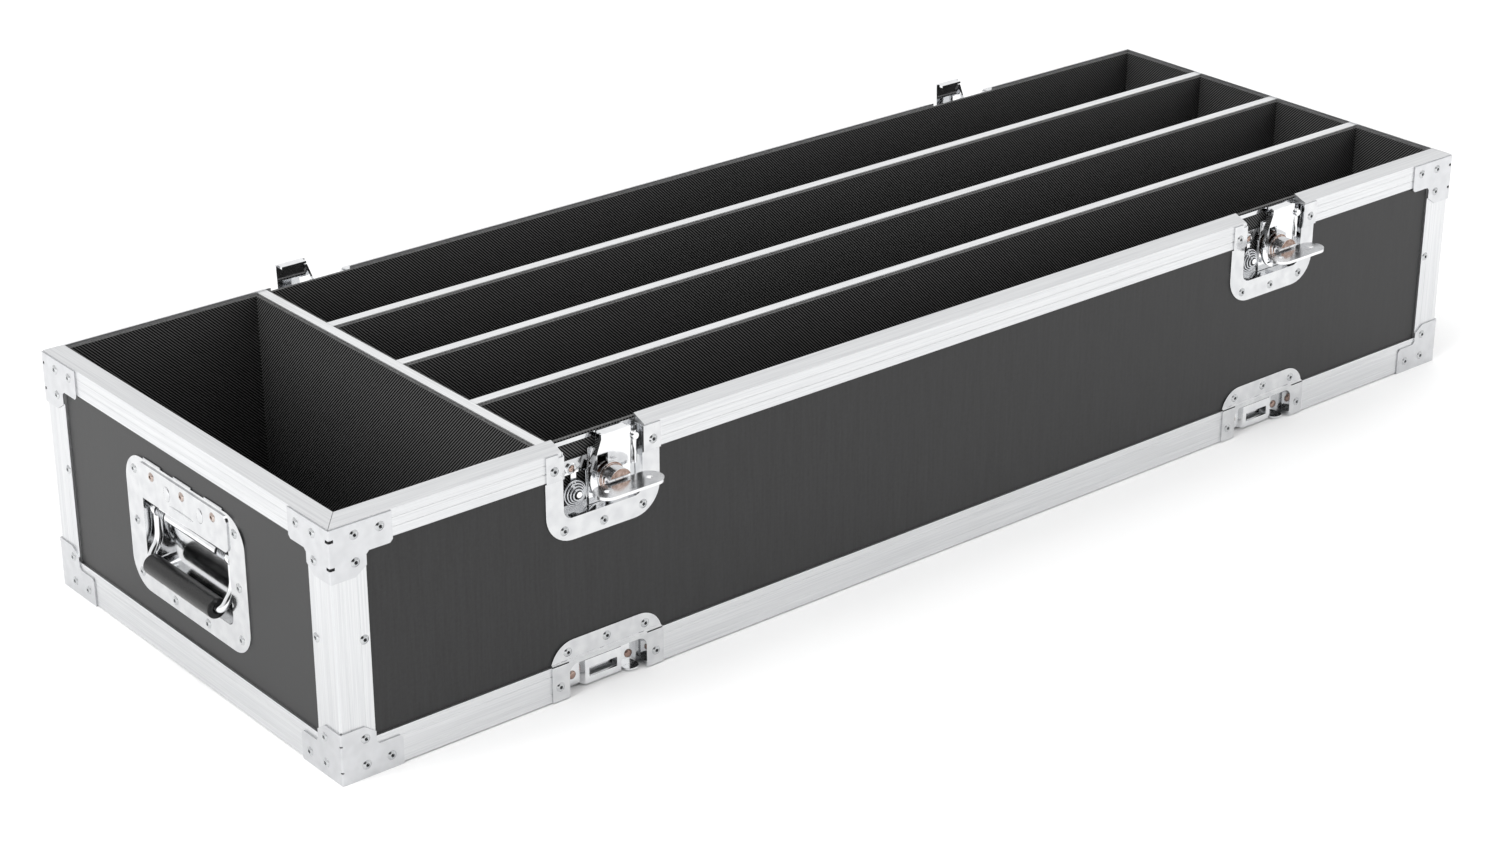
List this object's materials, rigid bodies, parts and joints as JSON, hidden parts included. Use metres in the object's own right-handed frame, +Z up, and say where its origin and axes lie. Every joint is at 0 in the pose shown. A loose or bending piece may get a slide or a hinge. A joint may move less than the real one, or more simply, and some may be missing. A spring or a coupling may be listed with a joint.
{
  "type": "flight case",
  "caption": "Long open tray of a flight case with divided channels, butterfly latches, keepers and sprung end handles.",
  "frame": {"origin": "centre of the footprint, on the floor", "axes": "+X along the length, towards the four channels' far end; +Y to the rear; +Z up"},
  "size_m": [1.2646, 0.4828, 0.2292],
  "materials": {
    "laminate": "satin black laminate on plywood",
    "edging": "bright drawn aluminium",
    "bracket_steel": "zinc plated pressed steel",
    "dish_steel": "zinc plated pressed steel",
    "latch_steel": "bright plated steel",
    "spindle_metal": "plated, slightly coppery",
    "wing_metal": "cast and plated",
    "pin_steel": "plain steel",
    "spring_steel": "plain wire",
    "rivet_steel": "plated rivet",
    "lining": "matt black ribbed foam lining",
    "board": "plain board",
    "cap_strip": "satin light strip",
    "grip_rubber": "matt black rubber"
  },
  "bodies": {
    "case": {"bottom_panel": "laminate", "front_panel": "laminate", "rear_panel": "laminate", "left_panel": "laminate", "right_panel": "laminate", "rim_front": "edging", "rim_rear": "edging", "rim_left": "edging", "rim_right": "edging", "corner_posts": "edging", "bottom_edging_long": "edging", "bottom_edging_short": "edging", "top_corner_brackets": "bracket_steel", "bottom_corner_brackets": "bracket_steel", "floor_lining": "lining", "lining_front": "lining", "lining_rear": "lining", "lining_left": "lining", "lining_right": "lining", "cross_divider": "board", "long_divider_front": "board", "long_divider_middle": "board", "long_divider_rear": "board", "divider_linings": "lining", "divider_caps": "cap_strip", "latch_dishes": "dish_steel", "latch_base_plates": "latch_steel", "latch_spring_brackets": "latch_steel", "latch_springs": "spring_steel", "keeper_dishes": "dish_steel", "keeper_bracket_front_left": "latch_steel", "keeper_bracket_front_right": "latch_steel", "keeper_bracket_rear_left": "latch_steel", "keeper_bracket_rear_right": "latch_steel", "handle_dish_left": "dish_steel", "handle_dish_right": "dish_steel", "handle_covers": "dish_steel", "handle_rods": "pin_steel", "handle_springs": "spring_steel", "rivets": "rivet_steel"},
    "spindle_front_left": {"spindle_front_left": "spindle_metal"},
    "claw_front_left": {"claw_front_left": "latch_steel"},
    "wing_front_left": {"wing_front_left": "wing_metal", "wing_pin_front_left": "pin_steel"},
    "spindle_front_right": {"spindle_front_right": "spindle_metal"},
    "claw_front_right": {"claw_front_right": "latch_steel"},
    "wing_front_right": {"wing_front_right": "wing_metal", "wing_pin_front_right": "pin_steel"},
    "spindle_rear_left": {"spindle_rear_left": "spindle_metal"},
    "claw_rear_left": {"claw_rear_left": "latch_steel"},
    "wing_rear_left": {"wing_rear_left": "wing_metal", "wing_pin_rear_left": "pin_steel"},
    "spindle_rear_right": {"spindle_rear_right": "spindle_metal"},
    "claw_rear_right": {"claw_rear_right": "latch_steel"},
    "wing_rear_right": {"wing_rear_right": "wing_metal", "wing_pin_rear_right": "pin_steel"},
    "handle_left": {"bail_left": "latch_steel", "grip_left": "grip_rubber"},
    "handle_right": {"bail_right": "latch_steel", "grip_right": "grip_rubber"}
  },
  "joints": [
    {"name": "spindle_turn_front_left", "type": "hinge", "parent": "case", "child": "spindle_front_left", "pos_m": [-0.368, -0.21, 0.175], "axis": [0, 1, 0], "range_deg": [0, 180]},
    {"name": "claw_slide_front_left", "type": "slide", "parent": "case", "child": "claw_front_left", "axis": [0, 0, 1], "range_m": [0, 0.018]},
    {"name": "wing_fold_front_left", "type": "hinge", "parent": "spindle_front_left", "child": "wing_front_left", "pos_m": [-0.368, -0.2156, 0.175], "axis": [1, 0, 0], "range_deg": [0, 90]},
    {"name": "spindle_turn_front_right", "type": "hinge", "parent": "case", "child": "spindle_front_right", "pos_m": [0.384, -0.21, 0.175], "axis": [0, 1, 0], "range_deg": [0, 180]},
    {"name": "claw_slide_front_right", "type": "slide", "parent": "case", "child": "claw_front_right", "axis": [0, 0, 1], "range_m": [0, 0.018]},
    {"name": "wing_fold_front_right", "type": "hinge", "parent": "spindle_front_right", "child": "wing_front_right", "pos_m": [0.384, -0.2156, 0.175], "axis": [1, 0, 0], "range_deg": [0, 90]},
    {"name": "spindle_turn_rear_left", "type": "hinge", "parent": "case", "child": "spindle_rear_left", "pos_m": [-0.384, 0.21, 0.175], "axis": [0, -1, 0], "range_deg": [-180, 0]},
    {"name": "claw_slide_rear_left", "type": "slide", "parent": "case", "child": "claw_rear_left", "axis": [0, 0, 1], "range_m": [-0.018, 0]},
    {"name": "wing_fold_rear_left", "type": "hinge", "parent": "spindle_rear_left", "child": "wing_rear_left", "pos_m": [-0.384, 0.2156, 0.175], "axis": [1, 0, 0], "range_deg": [0, 90]},
    {"name": "spindle_turn_rear_right", "type": "hinge", "parent": "case", "child": "spindle_rear_right", "pos_m": [0.368, 0.21, 0.175], "axis": [0, -1, 0], "range_deg": [-180, 0]},
    {"name": "claw_slide_rear_right", "type": "slide", "parent": "case", "child": "claw_rear_right", "axis": [0, 0, 1], "range_m": [-0.018, 0]},
    {"name": "wing_fold_rear_right", "type": "hinge", "parent": "spindle_rear_right", "child": "wing_rear_right", "pos_m": [0.368, 0.2156, 0.175], "axis": [1, 0, 0], "range_deg": [0, 90]},
    {"name": "handle_swing_left", "type": "hinge", "parent": "case", "child": "handle_left", "pos_m": [-0.612, 0, 0.1241], "axis": [0, 1, 0], "range_deg": [0, 90], "stiffness_Nm_per_rad": 0.25, "springref_deg": -20.05},
    {"name": "handle_swing_right", "type": "hinge", "parent": "case", "child": "handle_right", "pos_m": [0.612, 0, 0.1241], "axis": [0, -1, 0], "range_deg": [0, 90], "stiffness_Nm_per_rad": 0.25, "springref_deg": -20.05}
  ],
  "couplings": [
    {"joint": "spindle_turn_front_left", "follows": "claw_slide_front_left", "rad_per_m": 174.53},
    {"joint": "spindle_turn_front_right", "follows": "claw_slide_front_right", "rad_per_m": 174.53},
    {"joint": "spindle_turn_rear_left", "follows": "claw_slide_rear_left", "rad_per_m": 174.53},
    {"joint": "spindle_turn_rear_right", "follows": "claw_slide_rear_right", "rad_per_m": 174.53}
  ]
}
